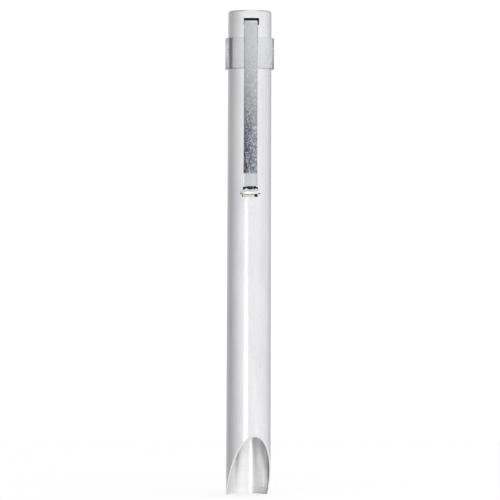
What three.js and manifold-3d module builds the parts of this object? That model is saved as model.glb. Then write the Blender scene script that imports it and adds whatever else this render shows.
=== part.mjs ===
// A pen otoscope: a thin metal barrel that holds two AAA cells and a lens-end lamp. The clip is
// also the switch, and the mouth is cut away on a slant, so that the eye can look along the beam.
// Millimetres, +Z up. Heights below are measured up from the tip; the last lines of the file move
// the whole pen down, so that the origin is the centre of its flat closed end.
import * as THREE from 'three';
import { mergeVertices } from 'three/addons/utils/BufferGeometryUtils.js';
import Module from 'manifold-3d';

const wasm = await Module();
wasm.setup();

// ---- Driving dimensions ----

const barrelLength = 142;
const barrelTipRadius = 6.53; // the drawn tube is a little wider towards its open end
const barrelTopRadius = 6.35;
const barrelWall = 0.35;
const closedEndRounding = 0.6;
const roundSides = 64; // sides of every large round piece
const smallSides = 24; // sides of every small round piece
const air = 0.3; // gap between pieces that bear on each other

// The slanted mouth. The cut starts on the outside at mouthHeight, and it is mouthPastAxis
// beyond the axis where it leaves the tip. The mouth faces a little to one side of the clip.
const mouthHeight = 18;
const mouthPastAxis = 1.2;
const mouthTurn = THREE.MathUtils.degToRad(14.5);
const seatDepth = 1.8; // wider step inside the tip, where a speculum's collar rests
const seatStep = 0.08;

// The clip and its slot, on the barrel's -Y side.
const slotWidth = 4.4;
const slotLow = 137.6;
const slotHigh = 139.6;
const clipWidth = 4.2;
const clipThickness = 0.5;
const clipLegHeight = 138.55; // middle of the leg that goes in through the slot
const clipLegEnd = 1.6; // how far past the axis the leg reaches
const clipBendRadius = 1;
const clipKinkHeight = 94.3;
const clipTipHeight = 90.6;
const clipGapAtRing = 1.05; // from the barrel to the clip's inside
const clipGapAtKink = 1.7;
const clipGapAtTip = 0.75;

// The clear ring under the clip.
const ringLow = 124.9;
const ringHigh = 134;
const ringInnerRadius = 6.42; // clears the barrel at the lowest place that the ring slides to
const ringOuterRadius = 7.16;

// The contact hump below the clip's tip, between two slits through the wall.
const windowWidth = 4.4;
const windowLow = 87.4;
const windowHigh = 90.75;
const humpLow = 88.25;
const humpHigh = 89.5;
const humpRise = 0.45;
const humpHalfSpan = 2.8;

// The cells, AAA size, positive end down.
const cellLength = 44.5;
const cellRadius = 5.25;
const cellLabelThickness = 0.15;
const cellSealThickness = 0.5; // of the plastic ring between the can and the end cap
const cellNubLength = 0.9;
const cellNubRadius = 1.9;
const cellEndCapThickness = 0.3;

// The lamp and its holder.
const lampTipHeight = 20; // front of the lens
const lampGlassRadius = 4.5;
const lampGlassWall = 0.45;
const lampNeckRadius = 3.8;
const lampShellLow = 31.6;
const lampShellHigh = 40.4;
const lampShellRadius = 4.65;
const lampSolderHeight = 43; // top of the solder tip
const holderLow = 32.5;
const holderHigh = 45.5;
const holderRadius = 5.95;
const holderInnerRadius = 5.1;
const holderSlitHigh = 38; // top of the slits that make the holder's lower end springy

const linerHigh = 88.9; // the card ends behind the contact hump
const linerRadius = 5.8;
const linerInnerRadius = 5.4;
const frontCellLow = lampSolderHeight + 3.1;
const rearCellLow = frontCellLow + cellLength + air;
const rearCellHigh = rearCellLow + cellLength;
const cupTop = barrelLength - barrelWall - air;
const cupLow = 136.6;

// ---- Materials ----

const metal = (color, roughness) => new THREE.MeshStandardMaterial({ color, roughness, metalness: 1 });
const plain = (color, roughness) => new THREE.MeshStandardMaterial({ color, roughness, metalness: 0 });

const satinSteel = metal(0xd9dade, 0.32);
const clipSteel = metal(0x9da3a8, 0.25);
const springSteel = metal(0xb5b7ba, 0.3);
const brass = metal(0xc9a45c, 0.3);
const nickel = metal(0xc8c6c0, 0.3);
const solder = metal(0xa9abae, 0.45);
const tungsten = metal(0x6d6d70, 0.5);
const cellSteel = metal(0xc4c6c8, 0.35);
const cellFilm = plain(0x2c3e50, 0.35);
const card = plain(0xb59a72, 0.85);
const blackPlastic = plain(0x1c1c1e, 0.5);
const blackGlass = plain(0x101012, 0.2);
const clearPlastic = plain(0xdfe8f2, 0.08);
clearPlastic.transparent = true;
clearPlastic.opacity = 0.35;
const clearGlass = plain(0xf2f6f8, 0.03);
clearGlass.transparent = true;
clearGlass.opacity = 0.3;

// ---- Geometry helpers ----

const radiusAt = (height) => THREE.MathUtils.lerp(barrelTipRadius, barrelTopRadius, height / barrelLength);
const boreAt = (height) => radiusAt(height) - barrelWall;

// Turns a closed outline of [radius, height] points about the Z axis.
function turned(outline, sides = roundSides) {
  const points = outline.map(([radius, height]) => new THREE.Vector2(radius, height));
  return new THREE.LatheGeometry(points, sides).rotateX(Math.PI / 2);
}

// The points of a round stretch of an outline, about a centre, from one angle to another in degrees.
function arc(centreRadius, centreHeight, radius, fromDegrees, toDegrees, steps) {
  const points = [];
  for (let i = 0; i <= steps; i += 1) {
    const angle = THREE.MathUtils.degToRad(fromDegrees + ((toDegrees - fromDegrees) * i) / steps);
    points.push([centreRadius + radius * Math.cos(angle), centreHeight + radius * Math.sin(angle)]);
  }
  return points;
}

function pipe(innerRadius, outerRadius, low, high, sides = roundSides) {
  return turned(
    [
      [innerRadius, low],
      [outerRadius, low],
      [outerRadius, high],
      [innerRadius, high],
      [innerRadius, low],
    ],
    sides,
  );
}

function disc(radius, low, high, sides = roundSides) {
  return turned(
    [
      [0, low],
      [radius, low],
      [radius, high],
      [0, high],
    ],
    sides,
  );
}

function block(low, high) {
  const size = new THREE.Vector3().subVectors(high, low);
  const middle = new THREE.Vector3().addVectors(low, high).multiplyScalar(0.5);
  return new THREE.BoxGeometry(size.x, size.y, size.z).translate(middle.x, middle.y, middle.z);
}

// A round wire along a curve.
function wire(curve, radius, steps, sides = 6) {
  const section = new THREE.Shape().absarc(0, 0, radius, 0, Math.PI * 2);
  return new THREE.ExtrudeGeometry(section, { extrudePath: curve, steps, curveSegments: sides / 2 });
}

class Coil extends THREE.Curve {
  // The radius and the height go evenly from their first to their last value.
  constructor(firstRadius, lastRadius, firstHeight, lastHeight, turns) {
    super();
    Object.assign(this, { firstRadius, lastRadius, firstHeight, lastHeight, turns });
  }

  getPoint(t, target = new THREE.Vector3()) {
    const angle = 2 * Math.PI * this.turns * t;
    const radius = THREE.MathUtils.lerp(this.firstRadius, this.lastRadius, t);
    const height = THREE.MathUtils.lerp(this.firstHeight, this.lastHeight, t);
    return target.set(radius * Math.cos(angle), radius * Math.sin(angle), height);
  }
}

function solidOf(geometry) {
  const bare = geometry.clone();
  bare.deleteAttribute('normal');
  bare.deleteAttribute('uv');
  const merged = mergeVertices(bare, 1e-3);
  return new wasm.Manifold(
    new wasm.Mesh({
      numProp: 3,
      vertProperties: merged.attributes.position.array,
      triVerts: new Uint32Array(merged.index.array),
    }),
  );
}

function geometryOf(solid) {
  const mesh = solid.getMesh();
  const geometry = new THREE.BufferGeometry();
  geometry.setAttribute('position', new THREE.BufferAttribute(mesh.vertProperties, 3));
  geometry.setIndex(new THREE.BufferAttribute(mesh.triVerts, 1));
  geometry.computeVertexNormals();
  return geometry;
}

function cut(geometry, ...tools) {
  return geometryOf(tools.reduce((left, tool) => left.subtract(solidOf(tool)), solidOf(geometry)));
}

function join(geometry, other) {
  return geometryOf(solidOf(geometry).add(solidOf(other)));
}

function piece(name, geometry, material) {
  const mesh = new THREE.Mesh(geometry, material);
  mesh.name = name;
  return mesh;
}

// ---- Barrel ----

// The drawn tube with its closed end, before anything is cut.
function barrelBlank() {
  const corner = closedEndRounding;
  const floor = barrelLength - barrelWall;
  return turned([
    [0, floor],
    [boreAt(floor), floor],
    [boreAt(seatDepth), seatDepth],
    [boreAt(seatDepth) + seatStep, seatDepth],
    [boreAt(0) + seatStep, 0],
    [barrelTipRadius, 0],
    ...arc(barrelTopRadius - corner, barrelLength - corner, corner, 0, 90, 5),
    [0, barrelLength],
  ]);
}

// The wedge that the slanted cut takes away. Its outline is drawn with the way that the mouth
// faces as x and the height as y.
function mouthWedge() {
  const beyond = 2;
  const rise = mouthHeight / (radiusAt(mouthHeight) + mouthPastAxis);
  const cutHeight = (out) => rise * (out + mouthPastAxis);
  const back = -mouthPastAxis - beyond;
  const front = barrelTipRadius + beyond;
  const outline = new THREE.Shape();
  outline.moveTo(back, cutHeight(back));
  outline.lineTo(front, cutHeight(back));
  outline.lineTo(front, cutHeight(front));
  const width = 2 * front;
  const wedge = new THREE.ExtrudeGeometry(outline, { depth: width, bevelEnabled: false });
  wedge.translate(0, 0, -width / 2);
  wedge.rotateX(Math.PI / 2);
  return wedge.rotateZ(mouthTurn - Math.PI / 2);
}

// A hole through the front wall only.
function frontWallCutter(width, low, high) {
  const outside = -barrelTipRadius - 1;
  const inside = -boreAt(low) + 1;
  return block(new THREE.Vector3(-width / 2, outside, low), new THREE.Vector3(width / 2, inside, high));
}

// The hump is a strip of the wall that bows outwards between the two slits.
function contactHump() {
  const wallRadius = radiusAt(humpLow);
  const top = wallRadius + humpRise;
  const foot = Math.sqrt(wallRadius ** 2 - humpHalfSpan ** 2);
  const rise = top - foot;
  const radius = (humpHalfSpan ** 2 + rise ** 2) / (2 * rise);
  const centre = -(top - radius);
  const halfAngle = Math.asin(humpHalfSpan / radius);
  const down = -Math.PI / 2;
  const outline = new THREE.Shape();
  outline.absarc(0, centre, radius, down - halfAngle, down + halfAngle, false);
  outline.absarc(0, centre, radius - barrelWall, down + halfAngle, down - halfAngle, true);
  outline.closePath();
  const depth = humpHigh - humpLow;
  return new THREE.ExtrudeGeometry(outline, { depth, bevelEnabled: false, curveSegments: 12 }).translate(
    0,
    0,
    humpLow,
  );
}

function barrel() {
  const slot = frontWallCutter(slotWidth, slotLow, slotHigh);
  const slits = frontWallCutter(windowWidth, windowLow, windowHigh);
  return piece('barrel', join(cut(barrelBlank(), mouthWedge(), slot, slits), contactHump()), satinSteel);
}

// ---- Clip and ring ----

// The strip's side view, with Y as x and the height as y: leg, bend, arm, kink and tip.
function pocketClip() {
  const half = clipThickness / 2;
  const middleAt = (gap, height) => new THREE.Vector2(-(radiusAt(height) + gap + half), height);
  const armTop = middleAt(clipGapAtRing, ringHigh);
  const kink = middleAt(clipGapAtKink, clipKinkHeight);
  const tip = middleAt(clipGapAtTip, clipTipHeight);
  const lean = Math.atan2(armTop.x - kink.x, armTop.y - kink.y);
  const kinkLean = Math.atan2(tip.x - kink.x, kink.y - tip.y);
  const bendDrop = ringHigh - (clipLegHeight - clipBendRadius);
  const bend = new THREE.Vector2(
    armTop.x - bendDrop * Math.tan(lean) + clipBendRadius / Math.cos(lean),
    clipLegHeight - clipBendRadius,
  );
  // Points of the arm's two sides: sign 1 is the outside, -1 the inside.
  const beside = (point, angle, sign) =>
    new THREE.Vector2(point.x - sign * half * Math.cos(angle), point.y - sign * half * Math.sin(angle));
  const atKink = (sign) => beside(kink, (kinkLean - lean) / 2, sign);
  const atTip = (sign) => beside(tip, kinkLean, sign);

  const outline = new THREE.Shape();
  outline.moveTo(clipLegEnd, clipLegHeight + half);
  outline.lineTo(bend.x, clipLegHeight + half);
  outline.absarc(bend.x, bend.y, clipBendRadius + half, Math.PI / 2, Math.PI - lean, false);
  outline.lineTo(atKink(1).x, atKink(1).y);
  outline.lineTo(atTip(1).x, atTip(1).y);
  outline.lineTo(atTip(-1).x, atTip(-1).y);
  outline.lineTo(atKink(-1).x, atKink(-1).y);
  outline.absarc(bend.x, bend.y, clipBendRadius - half, Math.PI - lean, Math.PI / 2, true);
  outline.lineTo(clipLegEnd, clipLegHeight - half);
  outline.closePath();
  const strip = new THREE.ExtrudeGeometry(outline, { depth: clipWidth, bevelEnabled: false, curveSegments: 8 });
  strip.translate(0, 0, -clipWidth / 2);
  // x to Y, y to Z and the extrusion to X
  const toFrame = new THREE.Matrix4().makeBasis(
    new THREE.Vector3(0, 1, 0),
    new THREE.Vector3(0, 0, 1),
    new THREE.Vector3(1, 0, 0),
  );
  return piece('pocket_clip', strip.applyMatrix4(toFrame), clipSteel);
}

function clipSpacerRing() {
  return piece('clip_spacer_ring', pipe(ringInnerRadius, ringOuterRadius, ringLow, ringHigh), clearPlastic);
}

// ---- Closed end, spring and cells ----

function rearInsulatorCup() {
  const outer = boreAt(cupTop) - 0.15;
  const inner = outer - 0.5;
  const floor = cupTop - 0.8;
  const cup = turned([
    [0, floor],
    [inner, floor],
    [inner, cupLow],
    [outer, cupLow],
    [outer, cupTop],
    [0, cupTop],
  ]);
  const legRoom = 0.5;
  const legPassage = frontWallCutter(
    clipWidth + 2 * legRoom,
    clipLegHeight - clipThickness / 2 - legRoom,
    clipLegHeight + clipThickness / 2 + legRoom,
  );
  return piece('rear_insulator_cup', cut(cup, legPassage.translate(0, 0.5, 0)), blackPlastic);
}

function batterySpring() {
  const wireRadius = 0.25;
  const low = rearCellHigh + air + wireRadius;
  const high = clipLegHeight - clipThickness / 2 - 2 * air - wireRadius;
  const coil = new Coil(3.5, 1.7, low, high, 3);
  return piece('battery_spring', wire(coil, wireRadius, 54), springSteel);
}

// One cell: a steel can with its nub, then at the other end a plastic seal ring round the end cap,
// and the printed film round it all.
function cell(name, low) {
  const canRadius = cellRadius - cellLabelThickness - 0.1;
  const canLow = low + cellNubLength;
  const high = low + cellLength;
  const canHigh = high - cellEndCapThickness - air;
  const capRadius = canRadius - 1.4;
  const rim = 0.4; // the can's crimped edge
  const can = turned([
    [0, low],
    [cellNubRadius, low],
    [cellNubRadius, canLow],
    [canRadius - rim, canLow],
    [canRadius, canLow + rim],
    [canRadius, high],
    [canRadius - rim, high],
    [canRadius - rim, canHigh],
    [0, canHigh],
  ]);
  const cap = disc(capRadius, canHigh + air, high);
  const seal = pipe(capRadius + 0.05, capRadius + 0.05 + cellSealThickness, canHigh + 0.05, high - 0.05);
  const film = pipe(cellRadius - cellLabelThickness, cellRadius, canLow + 0.6, high - 0.3);
  return [
    piece(`${name}_can`, can, cellSteel),
    piece(`${name}_seal`, seal, blackPlastic),
    piece(`${name}_end_cap`, cap, cellSteel),
    piece(`${name}_label`, film, cellFilm),
  ];
}

// Card rolled round the front cell, with a gap where its edges meet.
function cellLiner() {
  const low = holderHigh + 0.5;
  const seamFrom = 1.5;
  const seamTo = 2.3;
  const seamLow = new THREE.Vector3(seamFrom, -linerRadius - 1, low - 1);
  const seamHigh = new THREE.Vector3(seamTo, -3, linerHigh + 1);
  const seam = block(seamLow, seamHigh);
  return piece('cell_liner', cut(pipe(linerInnerRadius, linerRadius, low, linerHigh), seam), card);
}

// ---- Lamp and its holder ----

function lampHolder() {
  const slitWidth = 0.6;
  const reach = holderRadius + 1;
  const below = holderLow - 1;
  const half = slitWidth / 2;
  const slits = [
    block(new THREE.Vector3(-half, -reach, below), new THREE.Vector3(half, reach, holderSlitHigh)),
    block(new THREE.Vector3(-reach, -half, below), new THREE.Vector3(reach, half, holderSlitHigh)),
  ];
  const sleeve = pipe(holderInnerRadius, holderRadius, holderLow, holderHigh);
  return piece('lamp_holder', cut(sleeve, ...slits), nickel);
}

function contactParts() {
  const rivetLow = lampSolderHeight + air;
  const headHeight = 0.35;
  const discLow = rivetLow + headHeight + air;
  const discHigh = discLow + 1;
  const rivetHigh = discHigh + air + headHeight;
  const headRadius = 1.8;
  const shankRadius = 0.8;
  const carrier = pipe(shankRadius + air, holderInnerRadius - air, discLow, discHigh);
  const rivet = turned(
    [
      [0, rivetLow],
      [headRadius, rivetLow],
      [headRadius, rivetLow + headHeight],
      [shankRadius, rivetLow + headHeight],
      [shankRadius, rivetHigh - headHeight],
      [headRadius, rivetHigh - headHeight],
      [headRadius, rivetHigh],
      [0, rivetHigh],
    ],
    smallSides,
  );
  return [piece('contact_disc', carrier, blackPlastic), piece('contact_rivet', rivet, brass)];
}

// The base's thread is drawn as plain rings.
function lampShell() {
  const threadPitch = 1.8;
  const threadDepth = 0.3;
  const inner = lampNeckRadius + 0.35;
  const height = lampShellHigh - lampShellLow;
  const steps = 36;
  const outline = [[inner, lampShellLow]];
  for (let i = 0; i <= steps; i += 1) {
    const along = (height * i) / steps;
    const wave = (1 - Math.cos((2 * Math.PI * along) / threadPitch)) / 2;
    outline.push([lampShellRadius - threadDepth * wave, lampShellLow + along]);
  }
  outline.push([inner, lampShellHigh], [inner, lampShellLow]);
  return piece('lamp_shell', turned(outline, 40), brass);
}

function lampBase() {
  const plugRadius = lampNeckRadius;
  const coneTop = lampSolderHeight - 0.8;
  const glass = turned(
    [
      [0, lampShellHigh - 1.8],
      [plugRadius, lampShellHigh - 1.8],
      [plugRadius, lampShellHigh],
      [1.6, coneTop],
      [0, coneTop],
    ],
    40,
  );
  const dome = turned(
    [
      [0, coneTop + air],
      [1.1, coneTop + air],
      [0.8, lampSolderHeight - 0.1],
      [0, lampSolderHeight],
    ],
    smallSides,
  );
  return [piece('lamp_base_glass', glass, blackGlass), piece('lamp_solder_tip', dome, solder)];
}

// A thick lens at the front, a thin wall behind it, and a neck that goes into the base.
function lampGlass() {
  const lensRadius = 3.2;
  const shoulderRounding = 1.6;
  const shoulderHeight = lampTipHeight + 4.4;
  const bodyEnd = 30.2;
  const neckStart = 31.7;
  const neckEnd = 34.4;
  const inside = lampGlassRadius - lampGlassWall;
  const insideNeck = lampNeckRadius - lampGlassWall;
  const outline = [
    ...arc(0, lampTipHeight + lensRadius, lensRadius, -90, -12, 8),
    ...arc(lampGlassRadius - shoulderRounding, shoulderHeight, shoulderRounding, -45, 0, 4),
    [lampGlassRadius, bodyEnd],
    [lampNeckRadius, neckStart],
    [lampNeckRadius, neckEnd],
    [insideNeck, neckEnd],
    [insideNeck, neckStart + 0.2],
    [inside, bodyEnd + 0.2],
    ...arc(0, shoulderHeight + 1.2, inside, 0, -35, 4),
    [0, lampTipHeight + 3.4],
  ];
  return piece('lamp_glass', turned(outline, 40), clearGlass);
}

// Two wires held by a glass bead, and the filament between their ends.
function lampInside() {
  const leadX = 1.5;
  const leadRadius = 0.15;
  const leadHigh = 37.6;
  const filamentHeight = 27;
  const beadHeight = 31.2;
  const lead = (x) =>
    disc(leadRadius, filamentHeight - 0.4, leadHigh, 8).translate(x, 0, 0);
  const bead = new THREE.SphereGeometry(0.85, smallSides, 12).scale(2.6, 1, 1).translate(0, 0, beadHeight);
  const leadHole = (x) => disc(leadRadius + 0.2, beadHeight - 3, beadHeight + 3, 12).translate(x, 0, 0);
  const endGap = leadX - leadRadius - 0.2;
  const coil = new Coil(0.3, 0.3, -endGap, endGap, 6);
  const filament = wire(coil, 0.08, 60, 4).rotateY(Math.PI / 2).translate(0, 0, filamentHeight);
  return [
    piece('lamp_bead', cut(bead, leadHole(-leadX), leadHole(leadX)), clearGlass),
    piece('lamp_lead_left', lead(-leadX), nickel),
    piece('lamp_lead_right', lead(leadX), nickel),
    piece('lamp_filament', filament, tungsten),
  ];
}

// ---- The whole pen ----

const standing = new THREE.Group();
standing.add(
  barrel(),
  pocketClip(),
  clipSpacerRing(),
  rearInsulatorCup(),
  batterySpring(),
  ...cell('rear_cell', rearCellLow),
  ...cell('front_cell', frontCellLow),
  cellLiner(),
  lampHolder(),
  ...contactParts(),
  lampShell(),
  ...lampBase(),
  lampGlass(),
  ...lampInside(),
);
standing.position.z = -barrelLength;

const otoscope = new THREE.Group();
otoscope.add(standing);

export default otoscope;
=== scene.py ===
import math
import bpy
import bmesh
from mathutils import Matrix, Vector


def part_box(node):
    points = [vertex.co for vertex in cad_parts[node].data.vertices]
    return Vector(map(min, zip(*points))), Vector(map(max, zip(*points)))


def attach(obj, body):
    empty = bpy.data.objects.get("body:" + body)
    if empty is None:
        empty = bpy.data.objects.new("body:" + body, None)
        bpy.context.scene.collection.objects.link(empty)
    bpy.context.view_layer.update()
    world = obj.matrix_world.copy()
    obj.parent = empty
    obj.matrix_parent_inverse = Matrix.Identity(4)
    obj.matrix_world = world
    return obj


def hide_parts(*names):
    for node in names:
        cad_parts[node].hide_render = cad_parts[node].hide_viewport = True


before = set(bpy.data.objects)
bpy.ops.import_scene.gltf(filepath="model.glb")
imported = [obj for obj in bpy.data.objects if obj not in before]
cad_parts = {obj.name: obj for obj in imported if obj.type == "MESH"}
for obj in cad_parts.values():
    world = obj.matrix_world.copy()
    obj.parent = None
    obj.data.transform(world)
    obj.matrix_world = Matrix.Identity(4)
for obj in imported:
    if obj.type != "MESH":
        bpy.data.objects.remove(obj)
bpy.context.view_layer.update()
mm = 0.001
barrelLow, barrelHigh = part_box("barrel")
tipZ = barrelLow.z  # heights in the dictionaries are millimetres up from here
print("frame loaded")


def tree(name):
    # an empty material with its shader, ready for textures
    material = bpy.data.materials.new(name)
    material.use_nodes = True
    nodes = material.node_tree.nodes
    nodes.clear()
    out = nodes.new("ShaderNodeOutputMaterial")
    shader = nodes.new("ShaderNodeBsdfPrincipled")
    material.node_tree.links.new(shader.outputs[0], out.inputs[0])
    where = nodes.new("ShaderNodeTexCoord")
    return {"material": material, "nodes": nodes, "links": material.node_tree.links,
            "shader": shader, "where": where.outputs["Object"]}


def place(t, stretch=(1, 1, 1)):
    node = t["nodes"].new("ShaderNodeMapping")
    node.inputs["Scale"].default_value = stretch
    t["links"].new(t["where"], node.inputs["Vector"])
    return node.outputs[0]


def grain(t, size, stretch=(1, 1, 1), detail=3, roughness=0.55):
    # size is the width of one patch in millimetres
    node = t["nodes"].new("ShaderNodeTexNoise")
    node.inputs["Scale"].default_value = 1000.0 / size
    node.inputs["Detail"].default_value = detail
    node.inputs["Roughness"].default_value = roughness
    t["links"].new(place(t, stretch), node.inputs["Vector"])
    return node.outputs["Fac"]


def crystals(t, size, stretch=(1, 1, 1)):
    # one grey for each crystal; size as in grain
    node = t["nodes"].new("ShaderNodeTexVoronoi")
    node.inputs["Scale"].default_value = 1000.0 / size
    t["links"].new(place(t, stretch), node.inputs["Vector"])
    grey = t["nodes"].new("ShaderNodeRGBToBW")
    t["links"].new(node.outputs["Color"], grey.inputs[0])
    return grey.outputs[0]


def ramp(t, factor, stops, way="LINEAR"):
    # stops are (place, grey or colour)
    node = t["nodes"].new("ShaderNodeValToRGB")
    node.color_ramp.interpolation = way
    elements = node.color_ramp.elements
    while len(elements) < len(stops):
        elements.new(0.5)
    for element, (position, value) in zip(elements, stops):
        element.position = position
        element.color = (value, value, value, 1) if isinstance(value, (int, float)) else (*value, 1)
    t["links"].new(factor, node.inputs["Fac"])
    return node.outputs["Color"]


def mix(t, factor, first, second, way="MIX"):
    node = t["nodes"].new("ShaderNodeMix")
    node.data_type = "RGBA"
    node.blend_type = way
    for socket, value in ((node.inputs[0], factor), (node.inputs[6], first), (node.inputs[7], second)):
        if isinstance(value, (int, float)):
            socket.default_value = value if socket == node.inputs[0] else (value, value, value, 1)
        elif isinstance(value, tuple):
            socket.default_value = (*value, 1)
        else:
            t["links"].new(value, socket)
    return node.outputs[2]


def times(t, first, second):
    return mix(t, 1.0, first, second, "MULTIPLY")


def sums(t, way, first, second):
    node = t["nodes"].new("ShaderNodeMath")
    node.operation = way
    for socket, value in zip(node.inputs, (first, second)):
        if isinstance(value, (int, float)):
            socket.default_value = value
        else:
            t["links"].new(value, socket)
    return node.outputs[0]


def weighted(t, *parts):
    # adds up pairs of a value and its weight
    total = None
    for value, weight in parts:
        share = sums(t, "MULTIPLY", value, weight)
        total = share if total is None else sums(t, "ADD", total, share)
    return total


def bump(t, height, depth, strength, under=None):
    # depth in millimetres
    node = t["nodes"].new("ShaderNodeBump")
    node.inputs["Strength"].default_value = strength
    node.inputs["Distance"].default_value = depth * mm
    t["links"].new(height, node.inputs["Height"])
    if under is not None:
        t["links"].new(under, node.inputs["Normal"])
    return node.outputs[0]


def wire(t, name, value):
    socket = t["shader"].inputs[name]
    if isinstance(value, (int, float)):
        socket.default_value = value
    elif isinstance(value, tuple):
        socket.default_value = (*value, 1)
    else:
        t["links"].new(value, socket)


def xyz(t):
    # the place on a piece, split into X, Y and Z
    node = t["nodes"].new("ShaderNodeSeparateXYZ")
    t["links"].new(t["where"], node.inputs[0])
    return node.outputs


def aroundAxis(t, at):
    # radians round the pen from the clip's side, towards +X
    return sums(t, "ARCTAN2", at["X"], sums(t, "MULTIPLY", at["Y"], -1))


def between(t, value, low, high):
    # 0 at low and 1 at high, in metres
    node = t["nodes"].new("ShaderNodeMapRange")
    node.inputs["From Min"].default_value = low
    node.inputs["From Max"].default_value = high
    t["links"].new(value, node.inputs["Value"])
    return node.outputs[0]


def onPen(radius, angle, height):
    # radius and height in millimetres, the angle round from the clip's side
    return (radius * mm * math.sin(angle), -radius * mm * math.cos(angle), tipZ + height * mm)


def shown(name, data):
    thing = bpy.data.objects.new(name, data)
    bpy.context.scene.collection.objects.link(thing)
    return thing


def addPiece(name, bm, looks, body, stands, sharp=30):
    # looks are keys of the finishes below
    bmesh.ops.remove_doubles(bm, verts=bm.verts, dist=1e-7)
    bmesh.ops.recalc_face_normals(bm, faces=bm.faces)
    mesh = bpy.data.meshes.new(name)
    bm.to_mesh(mesh)
    bm.free()
    for face in mesh.polygons:
        face.use_smooth = True
    mesh.set_sharp_from_angle(angle=math.radians(sharp))
    piece = shown(name, mesh)
    for look in looks:
        mesh.materials.append(finishes[look])
    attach(piece, body)
    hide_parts(*stands)
    return piece


def soften(points, radius, steps=4, closed=True):
    # rounds the corners of an outline of [radius, height] points
    result = []
    count = len(points)
    for i, point in enumerate(points):
        here = Vector(point)
        if not closed and i in (0, count - 1):
            result.append(here)
            continue
        before = Vector(points[i - 1]) - here
        after = Vector(points[(i + 1) % count]) - here
        reach = min(radius, before.length * 0.45, after.length * 0.45)
        if reach < 1e-6 or before.angle(after) > math.radians(172):
            result.append(here)
            continue
        start = here + before.normalized() * reach
        end = here + after.normalized() * reach
        for k in range(steps + 1):
            s = k / steps
            result.append(start * (1 - s) ** 2 + here * 2 * s * (1 - s) + end * s ** 2)
    return result


def turned(points, sides=96, closed=True):
    # a turned piece from its outline in millimetres, heights up from the tip
    bm = bmesh.new()
    rings = []
    for radius, height in points:
        count = 1 if radius < 1e-5 else sides  # one point on the axis
        rings.append([bm.verts.new(onPen(radius, 2 * math.pi * k / sides, height)) for k in range(count)])
    pairs = list(zip(rings, rings[1:]))
    if closed:
        pairs.append((rings[-1], rings[0]))
    for lower, upper in pairs:
        for k in range(sides):
            n = (k + 1) % sides
            corners = []
            for ring, at in ((lower, k), (lower, n), (upper, n), (upper, k)):
                vert = ring[at % len(ring)]
                if vert not in corners:
                    corners.append(vert)
            if len(corners) > 2:
                bm.faces.new(corners)
    return bm


def tube(inner, outer, low, high, corner, steps, sides=96):
    outline = [(inner, low), (outer, low), (outer, high), (inner, high)]
    return turned(soften(outline, corner, steps), sides)


def rod(points, radius, sides=12):
    # a round wire through points in metres; radius in millimetres
    bm = bmesh.new()
    rings = []
    side = None
    for i, point in enumerate(points):
        ahead = Vector(points[min(i + 1, len(points) - 1)]) - Vector(points[max(i - 1, 0)])
        ahead.normalize()
        if side is None:
            side = ahead.orthogonal()
        side = (side - ahead * side.dot(ahead)).normalized()
        other = ahead.cross(side)
        rings.append([
            bm.verts.new(Vector(point) + (side * math.cos(a) + other * math.sin(a)) * radius * mm)
            for a in (2 * math.pi * k / sides for k in range(sides))
        ])
    for lower, upper in zip(rings, rings[1:]):
        for k in range(sides):
            n = (k + 1) % sides
            bm.faces.new((lower[k], lower[n], upper[n], upper[k]))
    bm.faces.new(rings[0][::-1])
    bm.faces.new(rings[-1])
    return bm


def roundEdges(bm, edges, size):
    bmesh.ops.bevel(bm, geom=edges, offset=size * mm, segments=2, profile=0.5, affect="EDGES",
                    clamp_overlap=True)


def carve(piece, low, high, turns=(0,)):
    # takes boxes out of a piece; corners in metres
    for turn in turns:
        box = bmesh.new()
        bmesh.ops.create_cube(box, size=1)
        size = Vector(high) - Vector(low)
        bmesh.ops.scale(box, vec=size, verts=box.verts)
        bmesh.ops.translate(box, vec=(Vector(high) + Vector(low)) / 2, verts=box.verts)
        bmesh.ops.rotate(box, cent=(0, 0, 0), matrix=Matrix.Rotation(turn, 3, "Z"), verts=box.verts)
        mesh = bpy.data.meshes.new("cutter")
        box.to_mesh(mesh)
        box.free()
        cutter = shown("cutter", mesh)
        modifier = piece.modifiers.new("cut", "BOOLEAN")
        modifier.object = cutter
        modifier.solver = "EXACT"
        bpy.context.view_layer.update()
        cutMesh = bpy.data.meshes.new_from_object(piece.evaluated_get(bpy.context.evaluated_depsgraph_get()))
        piece.modifiers.clear()
        piece.data = cutMesh
        bpy.data.objects.remove(cutter)
    piece.data.set_sharp_from_angle(angle=math.radians(30))


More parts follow.
